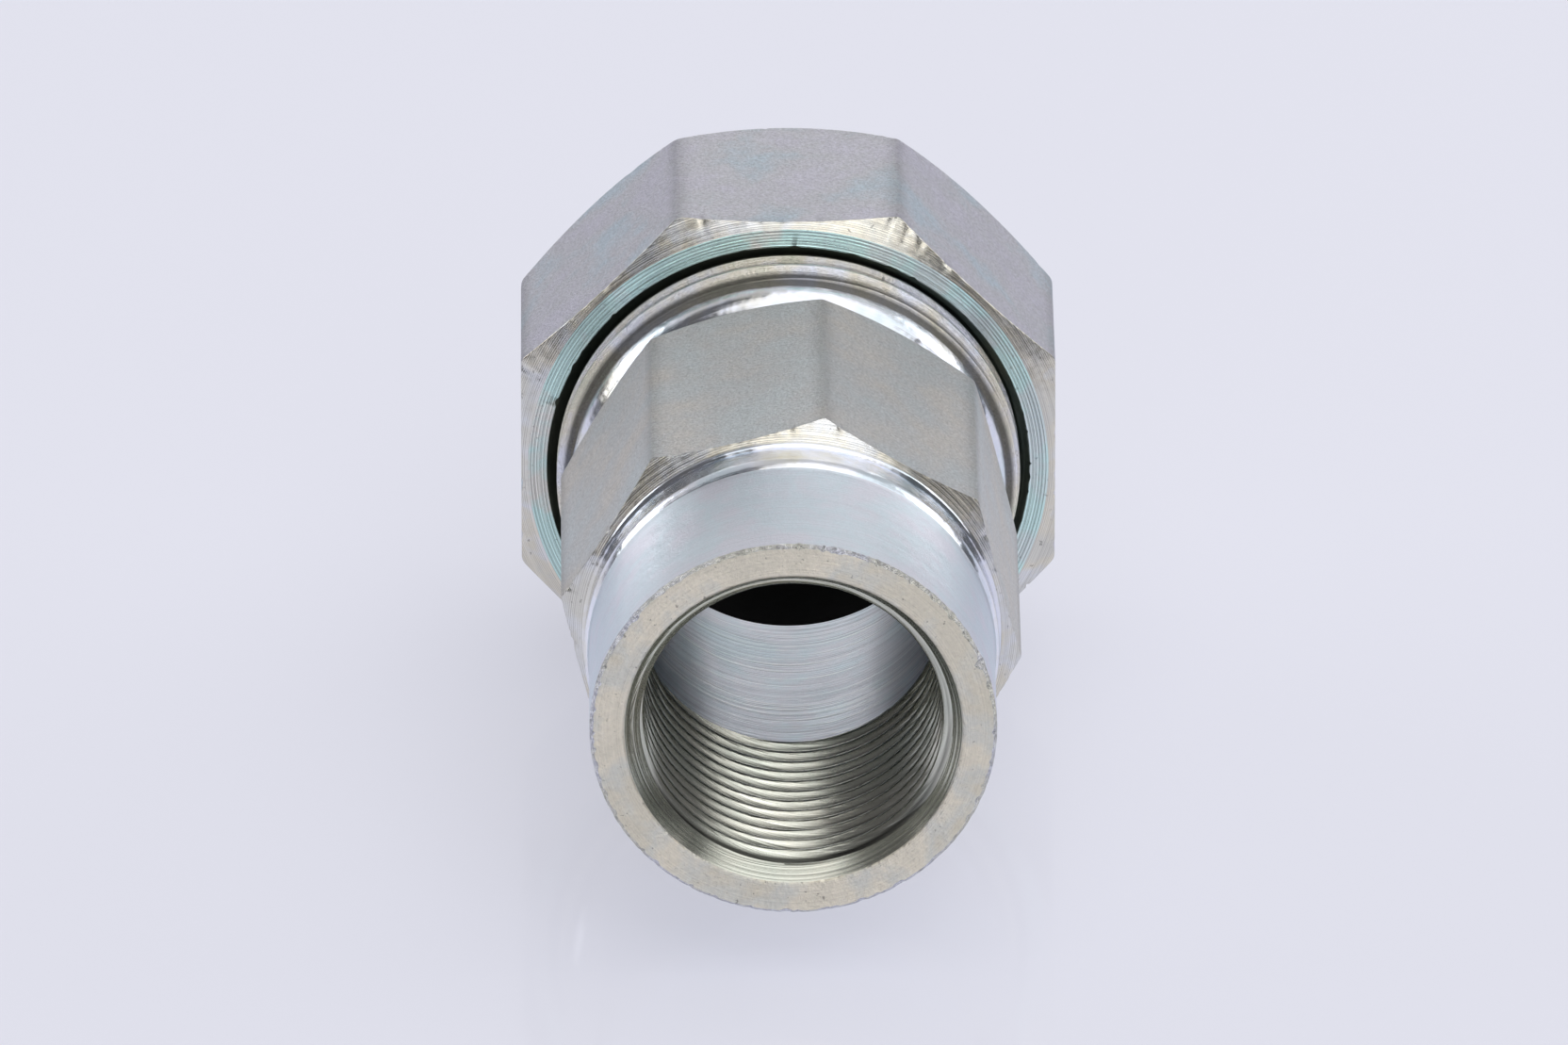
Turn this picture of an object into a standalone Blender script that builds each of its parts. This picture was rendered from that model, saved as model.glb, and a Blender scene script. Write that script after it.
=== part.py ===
"""Straight pipe union in zinc-plated steel, with G1 female ends, an octagonal nut and a rubber gasket.

Every piece is modelled along its own local +Z, which is the union's axis, with z = 0 on
the front face of the threaded end. One empty turns that axis onto world +Y and centres it.
Driving dimensions are in millimetres; mesh coordinates are in metres.
"""
import math
from collections import namedtuple

import bmesh
import bpy

MM = 0.001

# Threads: 11 turns per inch, both the pipe sockets (G1) and the union thread (G1-1/2)
PITCH = 25.4 / 11
SOCKET_MINOR_R = 15.15
SOCKET_MAJOR_R = 16.62
UNION_CREST_R = 23.9
UNION_ROOT_R = 22.3
UNION_ROOT_HALF = 0.28
UNION_HELIX_START = 56.6
FLANK_SLOPE = math.tan(math.radians(25.3))
THREAD_CLEARANCE = 0.3
RUN_OUT = 0.3
THREAD_LEAD_IN = 1.5
THREAD_RAMP = 1.0

# Threaded end, positions along the axis from its front face
EDGE_BREAK = 0.4
COLLAR_R = 20.6
COLLAR_LENGTH = 17.8
COLLAR_COVE = (0.1, 1.0)
RIDGE_R = 21.0
RIDGE_START = 20.2
RIDGE_END = 22.5
RIDGE_COVE = (0.2, 0.3)
OCTAGON_CONE_R = 21.35
OCTAGON_CONE_START = 23.1
BODY_AF = 43.8
BODY_CORNER_FROM_TOP = math.radians(8.25)
OCTAGON_REAR = 53.3
NECK_R = 21.2
NECK_START = 55.7
NECK_END = 57.6
NECK_FLARE = (0.3, 0.4)
UNION_THREAD_START = 58.7
SEAT_FACE = 74.5
SOCKET_THREAD_END = 29.0
RELIEF_R = 16.8
RELIEF_STEP = 0.2
POCKET_START = 60.3
POCKET_R = 19.7
MOUTH_R = 17.2
MOUTH_DEPTH = 2.6

# Union nut
NUT_AF = 55.0
NUT_FRONT = 63.1
NUT_LENGTH = 24.7
NUT_FACE_R = 26.8
NUT_REAR_CHAMFER = math.tan(math.radians(50))
NUT_MOUTH_R = 24.85
NUT_MOUTH_SLOPE = 0.8
NUT_FLANGE = 7.2
NUT_RELIEF_R = 24.5
NUT_RELIEF_LENGTH = 2.7
NUT_HOLE_R = 20.6
NUT_HOLE_CHAMFER = 0.6
NUT_CORNER_R = 1.2

# Tail piece and gasket
GAP = 0.3
GASKET_STANDS_OUT = 2.0
GASKET_INNER_R = 17.1
TAIL_COLLAR = 3.2
TAIL_COLLAR_R = 22.2
TAIL_COLLAR_CHAMFER = 0.3
TAIL_R = 20.25
TAIL_END_CHAMFER = 1.6
TAIL_WATERWAY = 2.0
WATERWAY_R = 14.0
TAIL_AF = 38.0
TAIL_STANDS_OUT = 12.2
TAIL_FLATS_BEHIND_NUT = 2.2
TAIL_RELIEF = 2.8

CHAMFER = math.tan(math.radians(30))
BODY_CORNER_R = 0.5
CUTTER_MARGIN = 2.0
TURN_STEPS = 24
MERGE = 1e-6

# A collection, and the empty whose local +Z is the axis of everything in it
Group = namedtuple("Group", "collection axis")

nut_rear = NUT_FRONT + NUT_LENGTH
flange_face = nut_rear - NUT_FLANGE
gasket_outer_r = POCKET_R - GAP
gasket_front = POCKET_START + GAP
gasket_rear = SEAT_FACE + GAP + GASKET_STANDS_OUT
tail_front = gasket_rear + GAP
tail_rear = nut_rear + TAIL_STANDS_OUT


def across_corners_r(across_flats):
    return across_flats / 2 / math.cos(math.pi / 8)


def start_clean():
    for old in list(bpy.data.objects):
        bpy.data.objects.remove(old, do_unlink=True)


def new_collection(name):
    made = bpy.data.collections.new(name)
    bpy.context.scene.collection.children.link(made)
    return made


def plain_material(name, colour, roughness, metallic):
    made = bpy.data.materials.new(name)
    made.use_nodes = True
    shader = made.node_tree.nodes["Principled BSDF"]
    shader.inputs["Base Color"].default_value = (*colour, 1.0)
    shader.inputs["Roughness"].default_value = roughness
    shader.inputs["Metallic"].default_value = metallic
    return made


def add_object(name, mesh, group):
    made = bpy.data.objects.new(name, mesh)
    group.collection.objects.link(made)
    made.parent = group.axis
    return made


def turned(name, profile, group):
    """Turns a closed profile of (radius, z) points; its outer side comes first, rear to front."""
    mesh = bpy.data.meshes.new(name)
    count = len(profile)
    mesh.from_pydata(
        [(r * MM, 0.0, z * MM) for r, z in profile],
        [(i, (i + 1) % count) for i in range(count)],
        [],
    )
    made = add_object(name, mesh, group)
    screw = made.modifiers.new("turn", "SCREW")
    screw.axis = "Z"
    screw.steps = TURN_STEPS
    screw.render_steps = TURN_STEPS
    screw.use_merge_vertices = True
    screw.merge_threshold = MERGE
    return made


def as_cutter(cutter):
    cutter.hide_render = True
    cutter.display_type = "WIRE"
    return cutter


def cut(target, cutter, operation="DIFFERENCE", solver="EXACT"):
    boolean = target.modifiers.new(cutter.name, "BOOLEAN")
    boolean.operation = operation
    boolean.solver = solver
    boolean.object = cutter


def prism(name, across_flats, ends, turn, corner_r, group):
    """An octagonal bar with rounded corners; turn 0 puts flats square to X and Y."""
    z0, z1 = ends
    mesh = bpy.data.meshes.new(name)
    bm = bmesh.new()
    radius = across_corners_r(across_flats) * MM
    bmesh.ops.create_cone(
        bm, cap_ends=True, segments=8, radius1=radius, radius2=radius, depth=(z1 - z0) * MM
    )
    for vert in bm.verts:
        angle = math.atan2(vert.co.y, vert.co.x)
        corner = round(angle / (math.pi / 4))
        spun = (corner + 0.5) * math.pi / 4 + turn
        vert.co.x = radius * math.cos(spun)
        vert.co.y = radius * math.sin(spun)
        vert.co.z += (z0 + z1) / 2 * MM
    bm.to_mesh(mesh)
    bm.free()
    made = as_cutter(add_object(name, mesh, group))
    if corner_r:
        bevel = made.modifiers.new("corners", "BEVEL")
        bevel.width = corner_r * MM
        bevel.segments = 2
        weights = mesh.attributes.new("bevel_weight_edge", "FLOAT", "EDGE")
        for edge in mesh.edges:
            a, b = (mesh.vertices[i].co for i in edge.vertices)
            weights.data[edge.index].value = 1.0 if abs(a.z - b.z) > MERGE else 0.0
        bevel.limit_method = "WEIGHT"
    return made


def flats_cutter(name, across_flats, ends, turn, corner_r, group):
    """A ring that leaves an octagon standing between its two ends."""
    z0, z1 = ends
    outer_r = across_corners_r(across_flats) + CUTTER_MARGIN
    past_ends = (z0 - CUTTER_MARGIN, z1 + CUTTER_MARGIN)
    core = prism(name + "_core", across_flats, past_ends, turn, corner_r, group)
    mesh = bpy.data.meshes.new(name)
    bm = bmesh.new()
    bmesh.ops.create_cone(
        bm,
        cap_ends=True,
        segments=TURN_STEPS,
        radius1=outer_r * MM,
        radius2=outer_r * MM,
        depth=(z1 - z0) * MM,
    )
    bmesh.ops.translate(bm, verts=bm.verts, vec=(0, 0, (z0 + z1) / 2 * MM))
    bm.to_mesh(mesh)
    bm.free()
    made = as_cutter(add_object(name, mesh, group))
    cut(made, core)
    return made


def groove_cutter(name, section, ends, group):
    """Sweeps a groove section of (radius, half width) points along a right-hand helix."""
    z_first, z_last = ends
    steps = round((z_last - z_first) / PITCH * TURN_STEPS)
    bm = bmesh.new()
    other_side = [(r, -half) for r, half in reversed(section) if half > 0]
    outline = section + other_side
    face = bm.faces.new([bm.verts.new((r * MM, 0.0, (z_first + z) * MM)) for r, z in outline])
    bmesh.ops.spin(
        bm,
        geom=[face] + face.edges[:] + face.verts[:],
        cent=(0, 0, 0),
        axis=(0, 0, 1),
        dvec=(0, 0, PITCH / TURN_STEPS * MM),
        angle=2 * math.pi * steps / TURN_STEPS,
        steps=steps,
        use_duplicate=False,
    )
    bmesh.ops.holes_fill(bm, edges=[e for e in bm.edges if e.is_boundary], sides=0)
    bmesh.ops.recalc_face_normals(bm, faces=bm.faces)
    mesh = bpy.data.meshes.new(name)
    bm.to_mesh(mesh)
    bm.free()
    return as_cutter(add_object(name, mesh, group))


def male_section(crest_r, root_r, root_half):
    """Groove of an external thread, open outwards past the crest."""
    crest_half = root_half + (crest_r - root_r) * FLANK_SLOPE
    return [(root_r, root_half), (crest_r, crest_half), (crest_r + RUN_OUT, crest_half)]


def female_section(major_r, minor_r, major_half):
    """Groove of an internal thread, open inwards past the crest."""
    minor_half = major_half + (major_r - minor_r) * FLANK_SLOPE
    return [(major_r, major_half), (minor_r, minor_half), (minor_r - RUN_OUT, minor_half)]


def make_threaded_end(parts, cutters):
    corner_r = across_corners_r(BODY_AF)
    cone_end = OCTAGON_CONE_START + (corner_r - OCTAGON_CONE_R) * CHAMFER
    outer = [
        (UNION_ROOT_R - RUN_OUT, SEAT_FACE),
        (UNION_CREST_R, SEAT_FACE - THREAD_LEAD_IN),
        (UNION_CREST_R, UNION_THREAD_START + THREAD_RAMP),
        (UNION_ROOT_R, UNION_THREAD_START),
        (NECK_R + NECK_FLARE[0], NECK_END + NECK_FLARE[1]),
        (NECK_R, NECK_END),
        (NECK_R, NECK_START),
        (corner_r, OCTAGON_REAR),
        (corner_r, cone_end),
        (OCTAGON_CONE_R, OCTAGON_CONE_START),
        (RIDGE_R - RIDGE_COVE[0], RIDGE_END + RIDGE_COVE[1]),
        (RIDGE_R, RIDGE_END),
        (RIDGE_R, RIDGE_START),
        (COLLAR_R - COLLAR_COVE[0], COLLAR_LENGTH + COLLAR_COVE[1]),
        (COLLAR_R, COLLAR_LENGTH),
        (COLLAR_R, EDGE_BREAK),
        (COLLAR_R - EDGE_BREAK, 0.0),
    ]
    inner = [
        (MOUTH_R, 0.0),
        (SOCKET_MINOR_R, MOUTH_DEPTH),
        (SOCKET_MINOR_R, SOCKET_THREAD_END),
        (RELIEF_R, SOCKET_THREAD_END + RELIEF_STEP),
        (RELIEF_R, POCKET_START),
        (POCKET_R, POCKET_START),
        (POCKET_R, SEAT_FACE),
    ]
    body = turned("threaded_end", outer + inner, parts)
    octagon_turn = BODY_CORNER_FROM_TOP - math.pi / 8
    octagon = flats_cutter(
        "body_flats", BODY_AF, (RIDGE_END + RELIEF_STEP, NECK_END), octagon_turn, BODY_CORNER_R, cutters
    )
    cut(body, octagon, solver="MANIFOLD")
    socket = female_section(SOCKET_MAJOR_R, SOCKET_MINOR_R, 0.0)
    socket_ends = (-PITCH, SOCKET_THREAD_END + PITCH / 2)
    cut(body, groove_cutter("front_socket_thread", socket, socket_ends, cutters), solver="MANIFOLD")
    union = male_section(UNION_CREST_R, UNION_ROOT_R, UNION_ROOT_HALF)
    union_ends = (UNION_HELIX_START, SEAT_FACE + PITCH)
    cut(body, groove_cutter("union_thread", union, union_ends, cutters), solver="MANIFOLD")
    return body


def make_union_nut(parts, cutters):
    corner_r = across_corners_r(NUT_AF)
    front_cone = (corner_r - NUT_FACE_R) * CHAMFER
    rear_cone = (corner_r - NUT_FACE_R) * NUT_REAR_CHAMFER
    minor_r = UNION_ROOT_R + THREAD_CLEARANCE
    relief_start = flange_face - NUT_RELIEF_LENGTH
    profile = [
        (NUT_FACE_R, nut_rear),
        (corner_r, nut_rear - rear_cone),
        (corner_r, NUT_FRONT + front_cone),
        (NUT_FACE_R, NUT_FRONT),
        (NUT_MOUTH_R, NUT_FRONT),
        (minor_r, NUT_FRONT + (NUT_MOUTH_R - minor_r) * NUT_MOUTH_SLOPE),
        (minor_r, relief_start),
        (NUT_RELIEF_R, relief_start),
        (NUT_RELIEF_R, flange_face),
        (NUT_HOLE_R, flange_face),
        (NUT_HOLE_R, nut_rear - NUT_HOLE_CHAMFER),
        (NUT_HOLE_R + NUT_HOLE_CHAMFER, nut_rear),
    ]
    nut = turned("union_nut", profile, parts)
    past_ends = (NUT_FRONT - CUTTER_MARGIN, nut_rear + CUTTER_MARGIN)
    cut(nut, prism("nut_octagon", NUT_AF, past_ends, 0.0, NUT_CORNER_R, cutters), "INTERSECT")
    # Half widths grow by the flank clearance, so the nut rides free of the threaded end
    crest_half = PITCH / 2 - UNION_ROOT_HALF - (UNION_CREST_R - UNION_ROOT_R) * FLANK_SLOPE
    major_half = crest_half - THREAD_CLEARANCE * FLANK_SLOPE + THREAD_CLEARANCE
    section = female_section(UNION_CREST_R + THREAD_CLEARANCE, minor_r, major_half)
    half_pitch_on = UNION_HELIX_START + PITCH * 2.5
    groove_ends = (half_pitch_on, flange_face - NUT_RELIEF_LENGTH / 2)
    cut(nut, groove_cutter("nut_thread", section, groove_ends, cutters))
    return nut


def make_tail_piece(parts, cutters):
    collar_end = tail_front + TAIL_COLLAR
    relief_end = collar_end + TAIL_RELIEF
    profile = [
        (TAIL_R - TAIL_END_CHAMFER, tail_rear),
        (TAIL_R, tail_rear - TAIL_END_CHAMFER * CHAMFER),
        (TAIL_R, collar_end),
        (TAIL_COLLAR_R, collar_end),
        (TAIL_COLLAR_R, tail_front + TAIL_COLLAR_CHAMFER),
        (TAIL_COLLAR_R - TAIL_COLLAR_CHAMFER, tail_front),
        (WATERWAY_R, tail_front),
        (WATERWAY_R, tail_front + TAIL_WATERWAY),
        (RELIEF_R, collar_end),
        (RELIEF_R, relief_end),
        (SOCKET_MINOR_R, relief_end),
        (SOCKET_MINOR_R, tail_rear - MOUTH_DEPTH),
        (MOUTH_R, tail_rear),
    ]
    tail = turned("tail_piece", profile, parts)
    flats_ends = (nut_rear + TAIL_FLATS_BEHIND_NUT, tail_rear + CUTTER_MARGIN)
    cut(tail, flats_cutter("tail_flats", TAIL_AF, flats_ends, 0.0, 0.0, cutters))
    socket = female_section(SOCKET_MAJOR_R, SOCKET_MINOR_R, 0.0)
    socket_ends = (relief_end - PITCH / 2, tail_rear + PITCH)
    cut(tail, groove_cutter("rear_socket_thread", socket, socket_ends, cutters))
    return tail


def make_gasket(parts):
    profile = [
        (gasket_outer_r, gasket_rear),
        (gasket_outer_r, gasket_front),
        (GASKET_INNER_R, gasket_front),
        (GASKET_INNER_R, gasket_rear),
    ]
    return turned("gasket", profile, parts)


def main():
    start_clean()
    axis = bpy.data.objects.new("union_axis", None)
    axis.location = (0.0, -tail_rear / 2 * MM, 0.0)
    axis.rotation_euler = (-math.pi / 2, 0.0, 0.0)
    parts = Group(new_collection("pipe_union"), axis)
    cutters = Group(new_collection("cutters"), axis)
    parts.collection.objects.link(axis)
    zinc = plain_material("zinc_plated_steel", (0.62, 0.63, 0.65), 0.32, 1.0)
    rubber = plain_material("black_rubber", (0.03, 0.03, 0.03), 0.6, 0.0)
    make_threaded_end(parts, cutters).data.materials.append(zinc)
    make_union_nut(parts, cutters).data.materials.append(zinc)
    make_tail_piece(parts, cutters).data.materials.append(zinc)
    make_gasket(parts).data.materials.append(rubber)


main()
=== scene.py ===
"""Looks for the pipe union: fine threads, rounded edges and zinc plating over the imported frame."""

import math
import random

import bmesh
import bpy
import numpy as np
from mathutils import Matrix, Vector


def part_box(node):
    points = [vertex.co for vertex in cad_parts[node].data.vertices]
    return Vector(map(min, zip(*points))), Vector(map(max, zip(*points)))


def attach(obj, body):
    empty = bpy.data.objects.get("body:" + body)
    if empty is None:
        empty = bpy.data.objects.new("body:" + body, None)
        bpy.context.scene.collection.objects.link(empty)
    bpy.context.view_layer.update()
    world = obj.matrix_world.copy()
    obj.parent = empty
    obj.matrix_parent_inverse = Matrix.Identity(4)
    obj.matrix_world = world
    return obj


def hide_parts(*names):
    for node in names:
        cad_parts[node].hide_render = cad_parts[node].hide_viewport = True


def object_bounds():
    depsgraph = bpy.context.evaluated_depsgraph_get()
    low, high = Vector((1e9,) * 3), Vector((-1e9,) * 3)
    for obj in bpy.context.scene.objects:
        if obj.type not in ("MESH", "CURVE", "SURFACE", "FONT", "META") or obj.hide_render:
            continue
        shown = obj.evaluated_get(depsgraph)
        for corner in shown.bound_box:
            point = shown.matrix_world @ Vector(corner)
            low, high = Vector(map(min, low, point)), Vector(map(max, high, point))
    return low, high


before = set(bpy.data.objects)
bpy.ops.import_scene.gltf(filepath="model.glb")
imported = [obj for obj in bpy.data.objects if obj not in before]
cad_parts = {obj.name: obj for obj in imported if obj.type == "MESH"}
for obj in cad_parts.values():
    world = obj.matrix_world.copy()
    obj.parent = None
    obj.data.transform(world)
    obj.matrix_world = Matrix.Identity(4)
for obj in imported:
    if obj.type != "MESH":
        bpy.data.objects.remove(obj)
cad_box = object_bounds()

MM = 0.001
PITCH = 25.4 / 11  # mm, 11 turns per inch
FLANK_ANGLE = math.radians(27.5)  # half of the thread's 55 degrees
CHAMFER = math.tan(math.radians(30))
REAR_CHAMFER = math.tan(math.radians(50))
ROWS_PER_PITCH = 14
FILLET_STEPS = 3
FILLET_ROWS = FILLET_STEPS + 3  # points that rounded() makes of one corner
SUPPORT = 0.12  # mm from a rounded corner to the row that holds the flat beside it
WELD = 2e-7  # metres
CORNER_MM = 0.9  # width of the dark line on an octagon's corners
CORNER_OFFSETS = (-1.0, -0.67, -0.33, 0, 0.33, 0.67, 1.0)  # degrees, extra columns at a corner
SOUND = 0.7  # share of a chamfer's width that no nick reaches
DENT_REACH = 1.2  # how far a nick reaches along a flat, in mm


# ---------------------------------------------------------------- sizes from the frame, in mm
def span(node, axis):
    low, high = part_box(node)
    return low[axis] / MM, high[axis] / MM


FRONT = span("threaded_end", 1)[0]


def from_front(node):
    low, high = span(node, 1)
    return low - FRONT, high - FRONT


SEAT_FACE = from_front("threaded_end")[1]
NUT_FRONT, NUT_REAR = from_front("union_nut")
TAIL_FRONT, TAIL_REAR = from_front("tail_piece")
GASKET_FRONT, GASKET_REAR = from_front("gasket")
NUT_APOTHEM = span("union_nut", 2)[1]
TAIL_REAR_Y = (FRONT + TAIL_REAR) * MM

# Radii that both sockets share
SOCKET_MINOR_R, SOCKET_MAJOR_R = 15.15, 16.62
RELIEF_R, UNDERCUT_R, WATERWAY_R = 16.8, 16.95, 14.0
POCKET_R, POCKET_START = 19.7, 60.3
SOCKET_THREAD_END = 29.0
MOUTH_R, MOUTH_DEPTH = 17.2, 2.6
UNION_CREST_R, UNION_ROOT_R = 23.85, 22.42
THREAD_CLEARANCE = 0.3
ROOT_ROUND = 0.3
# The middle of a groove above the axis, measured from the front
UNION_PHASE, SOCKET_PHASE = 59.84, 1.345


# ---------------------------------------------------------------- outlines
def arc_points(start, end, sag, count=6):
    """Points strictly between start and end on an arc; positive sag bows to the left of the run."""
    (r0, y0), (r1, y1) = start, end
    run_r, run_y = r1 - r0, y1 - y0
    points = []
    for i in range(1, count):
        t = i / count
        bow = 4 * sag * t * (1 - t) / math.hypot(run_r, run_y)
        points.append((r0 + run_r * t - run_y * bow, y0 + run_y * t + run_r * bow))
    return points


def rounded(corners):
    """Rounds (r, y, fillet) corners, always with the same number of points whatever the sizes are."""
    out = []
    last = len(corners) - 1
    for i, (r, y, fillet) in enumerate(corners):
        here = np.array((r, y), float)
        if fillet == 0:
            out.append(here)
            continue
        before = np.array(corners[max(i - 1, 0)][:2], float) - here
        after = np.array(corners[min(i + 1, last)][:2], float) - here
        len_before, len_after = np.linalg.norm(before), np.linalg.norm(after)
        if min(len_before, len_after) < 1e-6:
            out += [here] * FILLET_ROWS
            continue
        u, v = before / len_before, after / len_after
        half = math.acos(max(-1.0, min(1.0, float(u @ v)))) / 2
        tangent = min(fillet / max(math.tan(half), 1e-3), 0.4 * len_before, 0.4 * len_after)
        spare = min(SUPPORT, 0.08 * min(len_before, len_after))
        out.append(here + u * (tangent + spare))
        for k in range(FILLET_STEPS + 1):
            t = k / FILLET_STEPS
            out.append(here + u * tangent * (1 - t) ** 2 + v * tangent * t**2)
        out.append(here + v * (tangent + spare))
    return out


def octagon_r(theta, apothem, corner_from_top, corner_r):
    """Radius of an octagon with rounded corners, theta measured from the top."""
    off = (theta - corner_from_top + math.pi / 8) % (math.pi / 4) - math.pi / 8
    off = abs(off)
    centre = (apothem - corner_r) / math.cos(math.pi / 8)
    reach = centre + corner_r * math.cos(math.pi / 8)
    if off < math.atan2(corner_r * math.sin(math.pi / 8), reach):
        return centre * math.cos(off) + math.sqrt(corner_r**2 - (centre * math.sin(off)) ** 2)
    return apothem / math.cos(math.pi / 8 - off)


def corner_nearness(apothem, corner_from_top):
    """A function of the angle that is 1 on an octagon's corner lines and fades out beside them."""

    def near(theta):
        off = (theta - corner_from_top + math.pi / 8) % (math.pi / 4) - math.pi / 8
        return math.exp(-((off * apothem / CORNER_MM) ** 2))

    return near


def column_angles(corner_from_top, count=640):
    """Even steps round the axis, with extra ones where the octagon's corners are rounded."""
    even = [2 * math.pi * i / count for i in range(count)]
    extra = []
    for k in range(8):
        corner = (corner_from_top + k * math.pi / 4) % (2 * math.pi)
        extra += [(corner + math.radians(d)) % (2 * math.pi) for d in CORNER_OFFSETS]
    kept = sorted(extra)
    for angle in even:
        gap = min(abs((angle - e + math.pi) % (2 * math.pi) - math.pi) for e in extra)
        if gap > math.radians(0.3):
            kept.append(angle)
    return sorted(kept)


class Nicks:
    """Small dents along an edge: a depth in mm for each angle, mostly zero."""

    def __init__(self, seed, count, deepest, radius):
        dice = random.Random(seed)
        self.dents = []
        for _ in range(count):
            width = dice.uniform(0.2, 0.65) / radius
            self.dents.append((dice.uniform(0, 2 * math.pi), width, deepest * dice.random() ** 2))

    def __call__(self, theta):
        depth = 0.0
        for middle, width, most in self.dents:
            away = abs((theta - middle + math.pi) % (2 * math.pi) - math.pi) / width
            if away < 1:
                depth = max(depth, most * (1 - away * away))
        return depth


# ---------------------------------------------------------------- threads
def groove_depth(axial, depth):
    """Depth of a round-rooted groove at a distance along the axis from its middle, 0 at the crest."""
    d = abs((axial + PITCH / 2) % PITCH - PITCH / 2)
    root_edge = ROOT_ROUND * math.cos(FLANK_ANGLE)
    if d < root_edge:
        return depth - (ROOT_ROUND - math.sqrt(ROOT_ROUND**2 - d**2))
    flank = depth - ROOT_ROUND * (1 - math.sin(FLANK_ANGLE)) - (d - root_edge) / math.tan(FLANK_ANGLE)
    return max(flank, 0.0)


def socket_r(theta, y, inward):
    """Radius of a socket's thread at a place; inward is the distance from the socket's own mouth."""
    blank = max(SOCKET_MINOR_R, MOUTH_R - inward * (MOUTH_R - SOCKET_MINOR_R) / MOUTH_DEPTH)
    cut = groove_depth(y - SOCKET_PHASE - PITCH * theta / (2 * math.pi), SOCKET_MAJOR_R - SOCKET_MINOR_R)
    return max(blank, SOCKET_MINOR_R + cut)


class Chain:
    """The closed outline that a piece is turned from, as zones of rows, one column for each angle."""

    def __init__(self, thetas, nearness=None):
        self.thetas = thetas
        self.nearness = nearness or (lambda theta: 0.0)
        self.columns = [[] for _ in thetas]
        self.paint = []
        self.helical = []

    def rows(self):
        return len(self.columns[0])

    def plain(self, points, paint):
        """Rows that are the same at every angle, or one list for each angle."""
        per_angle = callable(points)
        fixed = None if per_angle else points
        for theta, column in zip(self.thetas, self.columns):
            column.extend(points(theta) if per_angle else fixed)
        added = self.rows() - len(self.paint)
        self.paint += paint(added) if callable(paint) else [paint] * added

    def thread(self, y_low, y_high, radius, paint, reverse=False):
        """Helical rows between two planes; radius(theta, y) is the surface there."""
        turns = math.ceil((y_high - y_low) / PITCH) + 1
        count = turns * ROWS_PER_PITCH
        start = self.rows()
        for theta, column in zip(self.thetas, self.columns):
            lead = y_low - PITCH + PITCH * theta / (2 * math.pi)
            made = []
            for j in range(count + 1):
                y = min(max(lead + PITCH * j / ROWS_PER_PITCH, y_low), y_high)
                made.append((radius(theta, y), y))
            column.extend(reversed(made) if reverse else made)
        self.helical.append((start, start + count, -1 if reverse else 1))
        self.paint += [paint] * (self.rows() - len(self.paint))

    def seam_row(self, row):
        """The row of the first column that meets this row of the last column, one turn on."""
        for start, end, way in self.helical:
            if start <= row <= end:
                return min(max(row + way * ROWS_PER_PITCH, start), end)
        return row

    def build(self, name, materials):
        count, rows = len(self.thetas), self.rows()
        r_y = np.array(self.columns, float)
        angle = np.array(self.thetas)[:, None]
        points = np.stack(
            [r_y[..., 0] * np.sin(angle), r_y[..., 1] + FRONT, r_y[..., 0] * np.cos(angle)], -1
        )
        points = (points * MM).reshape(-1, 3)
        faces, paints = [], []
        for k in range(count):
            last = k == count - 1
            for j in range(rows):
                after = (j + 1) % rows
                a, b = k * rows + j, k * rows + after
                if last:
                    c, d = self.seam_row(after), self.seam_row(j)
                else:
                    c, d = (k + 1) * rows + after, (k + 1) * rows + j
                faces.append((a, b, c, d))
                paints.append(self.paint[j])
        mesh = bpy.data.meshes.new(name)
        mesh.from_pydata(points.tolist(), [], faces)
        mesh.polygons.foreach_set("material_index", paints)
        corner = mesh.attributes.new("corner", "FLOAT", "POINT")
        near = [self.nearness(theta) for theta in self.thetas]
        corner.data.foreach_set("value", np.repeat(np.array(near, np.float32), rows))
        for material in materials:
            mesh.materials.append(material)
        bm = bmesh.new()
        bm.from_mesh(mesh)
        bmesh.ops.remove_doubles(bm, verts=bm.verts, dist=WELD)
        bmesh.ops.recalc_face_normals(bm, faces=bm.faces)
        bm.to_mesh(mesh)
        bm.free()
        mesh.shade_smooth()
        mesh.set_sharp_from_angle(angle=math.radians(38))
        made = bpy.data.objects.new(name, mesh)
        bpy.context.scene.collection.objects.link(made)
        return made


def straight(points):
    """Rounded corners for a plain zone, where a bare (r, y) pair has no fillet."""
    return rounded([p if len(p) == 3 else (*p, 0) for p in points])


# ---------------------------------------------------------------- materials
MILLED, TURNED, FACED, OUTER_THREAD, INNER_THREAD, BORED, RIM, RINGED, COLLAR, SHADED, WORN = range(11)
WAVE_MM, CLOUD_MM, PIT_MM = 2.5, 9.0, 0.6
PIT_EDGE = (0.68, 0.73)  # noise values at the edge and the floor of a pit
AXIAL_SHARE = 1.37  # weight of y beside the radius in the turning marks
FEED_SHARE = 0.14  # height of the tool's feed marks beside the noise
# Thread roots are darkened as painted shade, fading out near a socket's mouth, where MOUTH_LIGHT paints the
# thread lighter as painted light.
ROOT_SHADE_START, ROOT_SHADE_END = 2.9, 2.3  # mm from a mouth; no painted shade in the roots beyond the second
MOUTH_LIGHT = 1.15
BODY_FLATS = ((0.52, 0.55, 0.565), (0.53, 0.535, 0.54), (0.57, 0.55, 0.53))
NUT_FLATS = ((0.51, 0.50, 0.57), (0.50, 0.50, 0.54), (0.47, 0.53, 0.59))
# (root radius, crest radius, share of colour kept at the root): painted shade in the roots of the threads
SOCKET_ROOT_SHADE = (SOCKET_MINOR_R + 0.8, SOCKET_MINOR_R + 0.45, 0.12)
UNION_ROOT_SHADE = (UNION_CREST_R - 0.9, UNION_CREST_R - 0.45, 0.2)


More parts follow.
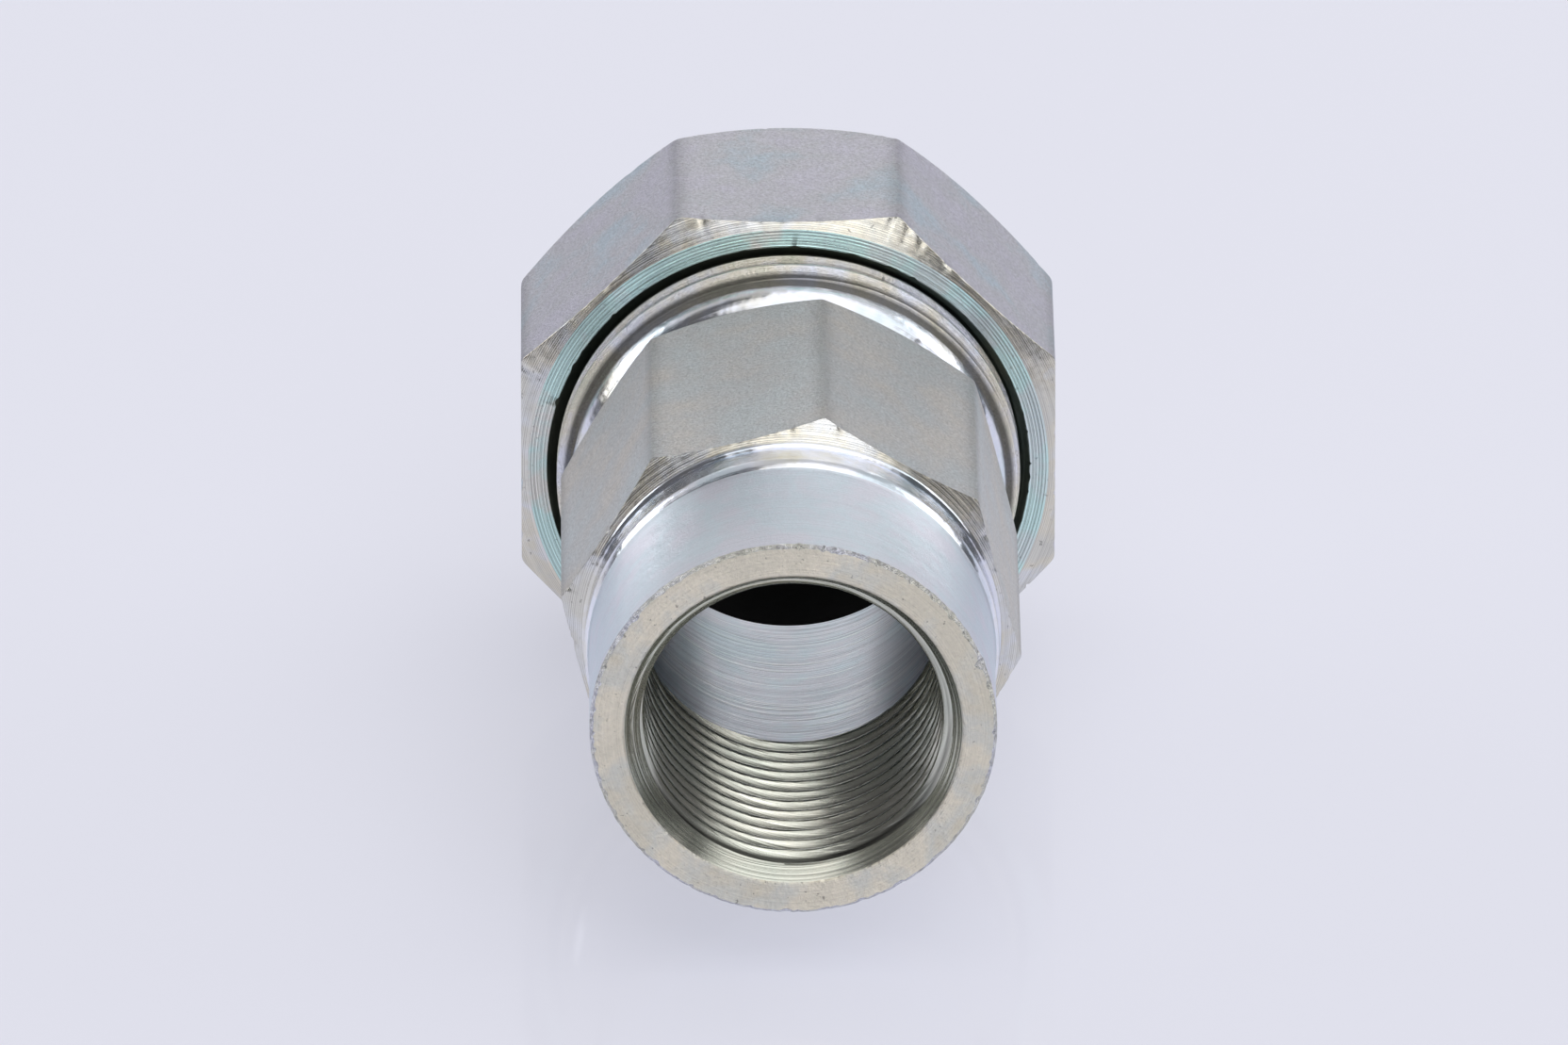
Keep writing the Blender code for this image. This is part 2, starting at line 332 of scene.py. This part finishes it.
def noise(tree, vector, scale, detail=4.0, rough=0.6):
    made = tree.nodes.new("ShaderNodeTexNoise")
    made.inputs["Scale"].default_value = scale
    made.inputs["Detail"].default_value = detail
    made.inputs["Roughness"].default_value = rough
    tree.links.new(vector, made.inputs["Vector"])
    return made.outputs["Fac"]


def spread(tree, value, low, high):
    """Maps the middle of a noise to a range."""
    made = tree.nodes.new("ShaderNodeMapRange")
    made.inputs["From Min"].default_value = 0.3
    made.inputs["From Max"].default_value = 0.7
    made.inputs["To Min"].default_value = low
    made.inputs["To Max"].default_value = high
    tree.links.new(value, made.inputs["Value"])
    return made.outputs[0]


def maths(tree, operation, *values):
    made = tree.nodes.new("ShaderNodeMath")
    made.operation = operation
    for socket, value in zip(made.inputs, values):
        if isinstance(value, (int, float)):
            socket.default_value = value
        else:
            tree.links.new(value, socket)
    return made.outputs[0]


def scaled(tree, vector, factor):
    made = tree.nodes.new("ShaderNodeVectorMath")
    made.operation = "SCALE"
    tree.links.new(vector, made.inputs[0])
    tree.links.new(factor, made.inputs["Scale"])
    return made.outputs[0]


def split(tree, vector):
    axes = tree.nodes.new("ShaderNodeSeparateXYZ")
    tree.links.new(vector, axes.inputs[0])
    return axes.outputs


def radius_of(tree, place):
    """Distance of a point from the union's axis, in metres."""
    x, _, z = split(tree, place)
    return maths(tree, "SQRT", maths(tree, "MULTIPLY_ADD", x, x, maths(tree, "MULTIPLY", z, z)))


def along_profile(tree, place, swirl):
    """Coordinates for turning marks: fine across the outline, long round the axis.

    The share of y isn't 1, so the marks also show on a chamfer of 45 degrees.
    """
    x, y, z = split(tree, place)
    joined = tree.nodes.new("ShaderNodeCombineXYZ")
    tree.links.new(maths(tree, "MULTIPLY_ADD", y, AXIAL_SHARE, radius_of(tree, place)), joined.inputs[0])
    for value, socket in ((x, 1), (z, 2)):
        tree.links.new(maths(tree, "MULTIPLY", value, swirl), joined.inputs[socket])
    return joined.outputs[0]


def between(tree, value, low, high, at_low, at_high):
    made = tree.nodes.new("ShaderNodeMapRange")
    for name, number in (("From Min", low), ("From Max", high), ("To Min", at_low), ("To Max", at_high)):
        made.inputs[name].default_value = number
    tree.links.new(value, made.inputs["Value"])
    return made.outputs[0]


def metal(name, colours, roughness, lines=0.0, line_tone=0.0, line_mm=0.14, line_swirl=0.002, feed_mm=0.0,
          grain=0.0, grain_tone=0.0, grain_mm=0.25, waves=0.0, pits=0.0, root=None, corner=0.0, aniso=0.0):
    """Zinc plating with turning lines, grain, waves and pits; bumps are slopes, tones shares of the colour.

    root is a thread's (root radius, crest radius, share of light kept at the root), for painted shade in
    its roots;
    a socket's mouth is painted lighter instead, as painted light. corner is the share of light lost on an
    octagon's corner lines.
    """
    made = bpy.data.materials.new(name)
    made.use_nodes = True
    tree = made.node_tree
    link = tree.links.new
    shader = tree.nodes["Principled BSDF"]
    shader.inputs["Metallic"].default_value = 1.0
    place = tree.nodes.new("ShaderNodeTexCoord").outputs["Object"]
    turned = along_profile(tree, place, line_swirl)
    line = noise(tree, turned, 1 / (line_mm * MM), 3.0, 0.65)
    if feed_mm:
        across = split(tree, turned)[0]
        wave = maths(tree, "SINE", maths(tree, "MULTIPLY", across, 2 * math.pi / (feed_mm * MM)))
        line = maths(tree, "MULTIPLY_ADD", wave, FEED_SHARE, line)
    speck = noise(tree, place, 1 / (grain_mm * MM), 3.0, 0.7)
    swell = noise(tree, place, 1 / (WAVE_MM * MM), 2.0, 0.5)
    cloud = noise(tree, place, 1 / (CLOUD_MM * MM), 4.0, 0.6)

    ramp = tree.nodes.new("ShaderNodeValToRGB")
    elements = ramp.color_ramp.elements
    while len(elements) < len(colours):
        elements.new(0.5)
    for k, (element, colour) in enumerate(zip(elements, colours)):
        element.position = 0.36 + 0.28 * k / max(len(colours) - 1, 1)
        element.color = (*colour, 1)
    link(cloud, ramp.inputs[0])
    colour = scaled(tree, ramp.outputs[0], spread(tree, speck, 1 - grain_tone, 1 + grain_tone))
    colour = scaled(tree, colour, spread(tree, line, 1 - line_tone, 1 + line_tone))
    if pits:
        dark = noise(tree, place, 1 / (PIT_MM * MM), 2.0, 0.6)
        colour = scaled(tree, colour, between(tree, dark, *PIT_EDGE, 1.0, 1 - pits))
    # Painted shade: the thread is darker towards its roots; near the socket's mouth the colour is painted
    # lighter instead.
    if root:
        root_r, crest_r, kept = root
        unshaded = between(tree, radius_of(tree, place), root_r * MM, crest_r * MM, kept, 1.0)
        _, along, _ = split(tree, place)
        end = maths(tree, "ABSOLUTE", along)
        fade_start, fade_end = TAIL_REAR_Y - ROOT_SHADE_START * MM, TAIL_REAR_Y - ROOT_SHADE_END * MM
        mouth = between(tree, end, fade_start, fade_end, 0.0, MOUTH_LIGHT)
        colour = scaled(tree, colour, maths(tree, "MAXIMUM", unshaded, mouth))
    if corner:
        near = tree.nodes.new("ShaderNodeAttribute")
        near.attribute_name = "corner"
        colour = scaled(tree, colour, between(tree, near.outputs["Fac"], 0.0, 1.0, 1.0, 1 - corner))
    link(colour, shader.inputs["Base Color"])
    link(spread(tree, cloud, roughness * 0.9, roughness * 1.1), shader.inputs["Roughness"])

    normal = None
    for height, slope, size in ((line, lines, line_mm), (speck, grain, grain_mm), (swell, waves, WAVE_MM)):
        if not slope:
            continue
        bump = tree.nodes.new("ShaderNodeBump")
        bump.inputs["Distance"].default_value = slope * size * MM
        link(height, bump.inputs["Height"])
        if normal:
            link(normal, bump.inputs["Normal"])
        normal = bump.outputs[0]
    if normal:
        link(normal, shader.inputs["Normal"])
    if aniso:
        shader.inputs["Anisotropic"].default_value = aniso
        shader.inputs["Anisotropic Rotation"].default_value = 0.25
        tangent = tree.nodes.new("ShaderNodeTangent")
        tangent.direction_type = "RADIAL"
        tangent.axis = "Y"
        link(tangent.outputs[0], shader.inputs["Tangent"])
    return made




def plating(prefix, flats, outer_thread=None, inner_thread=None):
    """The finishes of one piece, in the order of the slot numbers above."""
    blue, straw = (0.64, 0.72, 0.79), (0.74, 0.73, 0.68)
    teal, cream, olive = (0.60, 0.80, 0.77), (0.80, 0.76, 0.66), (0.64, 0.66, 0.54)
    frost_teal, dusk, blue_dusk = (0.64, 0.72, 0.71), (0.62, 0.63, 0.70), (0.58, 0.65, 0.71)
    pearl, sky, frost = (0.80, 0.82, 0.90), (0.74, 0.84, 0.92), (0.68, 0.69, 0.70)
    dull_straw, dull_cream = (0.64, 0.63, 0.58), (0.69, 0.655, 0.565)
    dim_straw, dim_olive = (0.58, 0.57, 0.50), (0.50, 0.52, 0.46)
    # Near-black colours for painted shade inside the nut.
    painted_shade, painted_shade_edge = (0.10, 0.13, 0.11), (0.16, 0.18, 0.15)
    beige, sand, ash = (0.65, 0.61, 0.51), (0.72, 0.67, 0.56), (0.62, 0.615, 0.56)
    return [
        metal(prefix + "_milled_flat", flats, 0.5, grain=2.2, grain_tone=0.22, grain_mm=0.3, waves=0.05,
              corner=0.22),
        metal(prefix + "_turned", (blue, pearl, straw), 0.14, lines=0.1, line_tone=0.03, waves=0.05,
              aniso=0.5),
        metal(prefix + "_faced", (dull_straw, dull_cream, frost, dull_straw), 0.22, lines=0.3,
              line_tone=0.18, feed_mm=0.34, waves=0.04, pits=0.4, aniso=0.4),
        metal(prefix + "_outer_thread", (pearl, cream, olive), 0.24, lines=0.5, line_tone=0.2, grain=0.5,
              grain_tone=0.12, waves=0.06, pits=0.45, root=outer_thread, aniso=0.3),
        metal(prefix + "_inner_thread", (dim_straw, dim_olive), 0.24, lines=0.5, line_tone=0.2,
              root=inner_thread, aniso=0.3),
        metal(prefix + "_bore", (sky, pearl, sky), 0.38, lines=0.2, line_tone=0.28, line_mm=0.3,
              line_swirl=0.012),
        metal(prefix + "_rim", (beige, sand, ash, beige), 0.36, lines=0.4, line_tone=0.08, grain=0.4,
              grain_tone=0.07, grain_mm=0.5, waves=0.06, pits=0.5),
        metal(prefix + "_ringed", (frost_teal, teal, teal, straw), 0.22, lines=0.6, line_tone=0.22,
              feed_mm=0.34, pits=0.35, aniso=0.5),
        metal(prefix + "_collar", (dusk, blue_dusk, dusk), 0.38, lines=0.25, line_tone=0.08, grain=0.2,
              grain_tone=0.05, waves=0.04, aniso=0.3),
        # A dark copy of the plating: painted shade for the nut's inner thread and inner faces.
        metal(prefix + "_shaded", (painted_shade, painted_shade_edge), 0.45, lines=0.5, line_tone=0.2),
        metal(prefix + "_worn_edge", (ash, dusk, ash), 0.24, grain=1.5, grain_tone=0.35, grain_mm=0.45,
              waves=0.3, pits=0.6),
    ]


# ---------------------------------------------------------------- threaded end
def make_threaded_end():
    apothem, corner_r, corner_from_top = 21.9, 0.5, math.radians(8.25)
    chain = Chain(column_angles(corner_from_top), corner_nearness(apothem, corner_from_top))
    collar_end, ridge_start, ridge_end = 17.8, 20.2, 22.5
    octagon_start, octagon_end, neck_start, union_start, union_end = 23.1, 53.3, 55.7, 58.7, 73.2
    collar_r, ridge_r, face_r, neck_r = 20.6, 21.0, 21.35, 21.2
    full_r = apothem / math.cos(math.pi / 8)

    cove_a = arc_points((collar_r - 0.05, 17.85), (ridge_r, ridge_start), -0.3)
    cove_b = arc_points((ridge_r - 0.05, ridge_end), (face_r, octagon_start), -0.18, 4)
    rim_nicks = Nicks(3, 150, 0.26, collar_r)
    rim_nicks.dents.append((math.radians(69), 0.6 / collar_r, 0.65))
    octagon_nicks = Nicks(5, 90, 0.2, apothem)

    def rim(theta):
        dent = rim_nicks(theta)
        return straight(
            [(20.25 - dent, 0.0, 0.06), (collar_r, 0.35 + dent, 0.12), (collar_r, collar_end, 0.05)]
        )

    chain.plain(rim, lambda n: [RIM] * 4 + [WORN] * 6 + [COLLAR] * (n - 10))
    chain.plain([np.array(p) for p in cove_a], TURNED)
    chain.plain(straight([(ridge_r, ridge_start, 0.04), (ridge_r, ridge_end, 0.04)]), TURNED)
    chain.plain([np.array(p) for p in cove_b], TURNED)

    def octagon_rows(theta):
        r = octagon_r(theta, apothem, corner_from_top, corner_r)
        cone = (r - face_r) * CHAMFER
        dent = octagon_nicks(theta) * (1 - chain.nearness(theta))
        y_rear = octagon_end + (full_r - r) * 0.96
        return rounded(
            [
                (face_r, octagon_start, 0),
                (face_r + (r - face_r) * SOUND, octagon_start + cone * SOUND, 0),
                (r - dent, octagon_start + cone + dent, 0.12),
                (r, octagon_start + cone + DENT_REACH, 0),
                (r, y_rear, 0.12),
                (neck_r, neck_start, 0.25),
            ]
        )

    def octagon_paint(n):
        return [FACED] * 4 + [MILLED] * (FILLET_ROWS + 1) + [TURNED] * (n - 5 - FILLET_ROWS)

    chain.plain(octagon_rows, octagon_paint)
    neck = arc_points((neck_r, 56.0), (UNION_ROOT_R, union_start), -0.35, 8)
    chain.plain([np.array(p) for p in neck], TURNED)

    def union_r(theta, y):
        run_in = UNION_ROOT_R + 0.05 + (y - union_start) * 1.3
        blank = min(UNION_CREST_R, run_in, UNION_CREST_R - (y - union_end))
        cut = groove_depth(y - UNION_PHASE - PITCH * theta / (2 * math.pi), UNION_CREST_R - UNION_ROOT_R)
        return min(blank, UNION_CREST_R - cut)

    chain.thread(union_start, SEAT_FACE, union_r, OUTER_THREAD)
    chain.plain(
        straight(
            [
                (21.9, SEAT_FACE),
                (POCKET_R, SEAT_FACE, 0.2),
                (POCKET_R, POCKET_START, 0.2),
                (RELIEF_R, POCKET_START, 0.1),
                (RELIEF_R, SOCKET_THREAD_END + 2.4, 0.05),
                (UNDERCUT_R, SOCKET_THREAD_END + 2.2, 0.05),
                (UNDERCUT_R, SOCKET_THREAD_END, 0.05),
            ]
        ),
        BORED,
    )

    def front_socket(theta, y):
        return socket_r(theta, y, y)

    chain.thread(0.25, SOCKET_THREAD_END, front_socket, INNER_THREAD, reverse=True)
    chain.plain(straight([(MOUTH_R - 0.1, 0.12), (MOUTH_R + 0.1, 0.0), (MOUTH_R + 0.3, 0.0)]), RIM)
    piece = chain.build("threaded_end_fine", plating("body", BODY_FLATS, UNION_ROOT_SHADE, SOCKET_ROOT_SHADE))
    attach(piece, "body")
    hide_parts("threaded_end")


# ---------------------------------------------------------------- union nut
def make_nut():
    corner_r, corner_from_top = 1.3, math.pi / 8
    chain = Chain(column_angles(corner_from_top), corner_nearness(NUT_APOTHEM, corner_from_top))
    face_r, mouth_r, hole_r, relief_r = 26.8, 24.85, 20.6, 24.5
    flange_face = NUT_REAR - 7.2
    relief_start = flange_face - 2.7
    minor_r = UNION_ROOT_R + 0.18
    major_r = UNION_CREST_R + THREAD_CLEARANCE

    edge_nicks = Nicks(11, 70, 0.3, NUT_APOTHEM)
    rear_nicks = Nicks(12, 50, 0.12, NUT_APOTHEM)
    mouth_nicks = Nicks(13, 60, 0.30, mouth_r)

    def outside(theta):
        r = octagon_r(theta, NUT_APOTHEM, corner_from_top, corner_r)
        cone, rear_cone = (r - face_r) * CHAMFER, (r - face_r) * REAR_CHAMFER
        dent, rear_dent, mouth_dent = edge_nicks(theta), rear_nicks(theta), mouth_nicks(theta)
        return rounded(
            [
                (mouth_r + mouth_dent, NUT_FRONT, 0.08),
                (face_r, NUT_FRONT, 0.15),
                (face_r + (r - face_r) * SOUND, NUT_FRONT + cone * SOUND, 0),
                (r - dent * 0.6, NUT_FRONT + cone + dent, 0.18),
                (r, NUT_FRONT + cone + DENT_REACH, 0),
                (r, NUT_REAR - rear_cone - DENT_REACH, 0),
                (r - rear_dent * 0.6, NUT_REAR - rear_cone - rear_dent, 0.25),
                (face_r + (r - face_r) * SOUND, NUT_REAR - rear_cone * SOUND, 0),
                (face_r, NUT_REAR, 0.15),
                (hole_r + 0.6, NUT_REAR, 0.05),
                (hole_r, NUT_REAR - 0.6, 0.05),
                (hole_r, flange_face, 0.1),
                (relief_r, flange_face, 0),
                (relief_r, relief_start, 0),
            ]
        )

    def outside_paint(n):
        paint = [RINGED] * (FILLET_ROWS + 3) + [FACED] * (FILLET_ROWS + 1)
        paint += [MILLED] * (FILLET_ROWS + 2) + [FACED] * (3 * FILLET_ROWS + 1)
        # The nut's inner faces get the painted-shade copy of the plating.
        return paint + [SHADED] * (n - len(paint))

    chain.plain(outside, outside_paint)

    def nut_r(theta, y):
        mouth = mouth_r - 0.1 - (y - NUT_FRONT - 0.2) * 1.2
        phase = y - UNION_PHASE - PITCH / 2 - PITCH * theta / (2 * math.pi)
        groove = groove_depth(phase, major_r - minor_r + 0.25)
        return max(minor_r, mouth, min(minor_r + groove, major_r))

    # The nut's inner thread gets the painted-shade copy of the plating.
    chain.thread(NUT_FRONT + 0.2, relief_start, nut_r, SHADED, reverse=True)
    piece = chain.build("union_nut_fine", plating("nut", NUT_FLATS))
    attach(piece, "nut")
    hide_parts("union_nut")


# ---------------------------------------------------------------- tail piece
def make_tail():
    chain = Chain(column_angles(math.pi / 8))
    collar_r, outer_r, apothem = 22.2, 20.25, 19.0
    collar_end = TAIL_FRONT + 3.2
    flats_start = NUT_REAR + 2.2
    thread_start = collar_end + 2.8
    chain.plain(
        straight(
            [
                (WATERWAY_R, TAIL_FRONT, 0.1),
                (collar_r, TAIL_FRONT, 0.3),
                (collar_r, collar_end, 0.2),
                (outer_r, collar_end, 0.15),
            ]
        ),
        TURNED,
    )

    def flats(theta):
        r = min(outer_r, octagon_r(theta, apothem, math.pi / 8, 0.5))
        face_r = outer_r - 1.6
        y_rear = TAIL_REAR - max(r - face_r, 0) * CHAMFER
        return rounded(
            [
                (outer_r, flats_start, 0),
                (r, flats_start + (outer_r - r) * 0.8, 0.1),
                (r, y_rear, 0.12),
                (face_r, TAIL_REAR, 0.12),
                (MOUTH_R, TAIL_REAR, 0.08),
            ]
        )

    def flats_paint(n):
        return [TURNED] * 3 + [MILLED] * FILLET_ROWS + [FACED] * (n - 3 - FILLET_ROWS)

    chain.plain(flats, flats_paint)

    def rear_socket(theta, y):
        return socket_r(theta, y, TAIL_REAR - y)

    chain.thread(thread_start, TAIL_REAR - 0.25, rear_socket, INNER_THREAD, reverse=True)
    chain.plain(
        straight(
            [
                (RELIEF_R, thread_start, 0),
                (RELIEF_R, collar_end, 0.2),
                (WATERWAY_R, TAIL_FRONT + 2.0, 0.2),
            ]
        ),
        BORED,
    )
    piece = chain.build("tail_piece_fine", plating("tail", BODY_FLATS, None, SOCKET_ROOT_SHADE))
    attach(piece, "tail")
    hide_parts("tail_piece")


# ---------------------------------------------------------------- gasket
def rubber():
    made = bpy.data.materials.new("gasket_rubber")
    made.use_nodes = True
    tree = made.node_tree
    shader = tree.nodes["Principled BSDF"]
    shader.inputs["Roughness"].default_value = 0.8
    shader.inputs["Specular IOR Level"].default_value = 0.05
    place = tree.nodes.new("ShaderNodeTexCoord")
    mottle = noise(tree, place.outputs["Object"], 900.0, 6.0, 0.7)
    ramp = tree.nodes.new("ShaderNodeValToRGB")
    ramp.color_ramp.elements[0].color = (0.003, 0.0035, 0.0035, 1)
    ramp.color_ramp.elements[1].color = (0.010, 0.010, 0.011, 1)
    tree.links.new(mottle, ramp.inputs[0])
    tree.links.new(ramp.outputs[0], shader.inputs["Base Color"])
    bump = tree.nodes.new("ShaderNodeBump")
    bump.inputs["Strength"].default_value = 0.5
    bump.inputs["Distance"].default_value = 0.05 * MM
    tree.links.new(mottle, bump.inputs["Height"])
    tree.links.new(bump.outputs[0], shader.inputs["Normal"])
    return made


def make_gasket():
    inner_r, outer_r, edge = 17.1, 19.4, 0.25
    chain = Chain([2 * math.pi * i / 180 for i in range(180)])
    chain.plain(
        straight(
            [
                (outer_r, GASKET_FRONT, edge),
                (outer_r, GASKET_REAR, edge),
                (inner_r, GASKET_REAR, edge),
                (inner_r, GASKET_FRONT, edge),
            ]
        ),
        0,
    )
    piece = chain.build("gasket_fine", [rubber()])
    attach(piece, "seal")
    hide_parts("gasket")


# ---------------------------------------------------------------- floor, light and camera
def make_floor():
    size = 1.6
    mesh = bpy.data.meshes.new("floor")
    bm = bmesh.new()
    bmesh.ops.create_grid(bm, x_segments=8, y_segments=8, size=size)
    bm.to_mesh(mesh)
    bm.free()
    floor = bpy.data.objects.new("floor", mesh)
    floor.location.z = cad_box[0].z
    bpy.context.scene.collection.objects.link(floor)
    made = bpy.data.materials.new("pale_floor")
    made.use_nodes = True
    tree = made.node_tree
    shader = tree.nodes["Principled BSDF"]
    shader.inputs["Base Color"].default_value = (0.32, 0.323, 0.365, 1)
    shader.inputs["Roughness"].default_value = 1.0
    shader.inputs["Specular IOR Level"].default_value = 0.0
    shader.inputs["Emission Color"].default_value = (0.895, 0.90, 1.0, 1)
    shader.inputs["Emission Strength"].default_value = 0.527
    gloss = tree.nodes.new("ShaderNodeBsdfGlossy")
    gloss.inputs["Roughness"].default_value = 0.08
    both = tree.nodes.new("ShaderNodeMixShader")
    both.inputs["Fac"].default_value = 0.05
    tree.links.new(shader.outputs[0], both.inputs[1])
    tree.links.new(gloss.outputs[0], both.inputs[2])
    tree.links.new(both.outputs[0], tree.nodes["Material Output"].inputs["Surface"])
    mesh.materials.append(made)


def softbox(name, azimuth, elevation, across, high, radiance):
    """An area light facing the object. Angles in degrees, azimuth 0 on the camera's side, 90 at +X."""
    distance = 1.5
    a, e = math.radians(azimuth), math.radians(elevation)
    way = Vector((math.sin(a) * math.cos(e), -math.cos(a) * math.cos(e), math.sin(e)))
    data = bpy.data.lights.new(name, "AREA")
    data.shape = "RECTANGLE"
    data.size = 2 * distance * math.tan(math.radians(across) / 2)
    data.size_y = 2 * distance * math.tan(math.radians(high) / 2)
    data.energy = radiance * math.pi * data.size * data.size_y
    lamp = bpy.data.objects.new(name, data)
    lamp.location = way * distance
    lamp.rotation_mode = "QUATERNION"
    lamp.rotation_quaternion = way.to_track_quat("Z", "Y")
    lamp.visible_camera = False
    bpy.context.scene.collection.objects.link(lamp)


def make_light():
    """Softboxes at both sides, behind, above and in front, in a dim room with a pale backdrop."""
    world = bpy.data.worlds.new("studio")
    bpy.context.scene.world = world
    world.use_nodes = True
    tree = world.node_tree
    background = tree.nodes["Background"]
    room = tree.nodes.new("ShaderNodeMix")
    room.data_type = "RGBA"
    seen = tree.nodes.new("ShaderNodeLightPath")
    tree.links.new(seen.outputs["Is Camera Ray"], room.inputs[0])
    room.inputs[6].default_value = (0.12, 0.12, 0.125, 1)
    room.inputs[7].default_value = (0.76, 0.77, 0.86, 1)
    tree.links.new(room.outputs[2], background.inputs["Color"])
    softbox("right", 112, 24, 50, 24, 1.7)
    softbox("left", -112, 20, 50, 18, 2.5)
    softbox("back_wall", 180, 34, 110, 54, 0.5)
    softbox("behind_low", 180, 7, 34, 12, 2.0)
    softbox("overhead", 60, 76, 80, 64, 1.2)
    softbox("front_high", 12, 38, 44, 30, 1.25)
    softbox("front_low", 2, 8, 30, 15, 2.6)


def make_camera():
    """A long lens about 2.9 m away, 25 degrees above the union's axis and slightly to its left."""
    width_px, focal_px, sensor = 1664, 30000, 36.0
    pitch, yaw = math.radians(25.08), math.radians(0.46)
    data = bpy.data.cameras.new("camera")
    data.sensor_width = sensor
    data.lens = focal_px / width_px * sensor
    data.clip_start, data.clip_end = 0.05, 20
    camera = bpy.data.objects.new("camera", data)
    look = Vector((math.sin(yaw) * math.cos(pitch), math.cos(yaw) * math.cos(pitch), -math.sin(pitch)))
    camera.location = Vector((-21.634, -2576.724 + FRONT, 1229.130)) * MM
    camera.rotation_mode = "QUATERNION"
    camera.rotation_quaternion = look.to_track_quat("-Z", "Y")
    bpy.context.scene.collection.objects.link(camera)
    bpy.context.scene.camera = camera


make_threaded_end()
make_nut()
make_tail()
make_gasket()
make_floor()
make_light()
make_camera()
bpy.context.scene.view_settings.view_transform = "Standard"
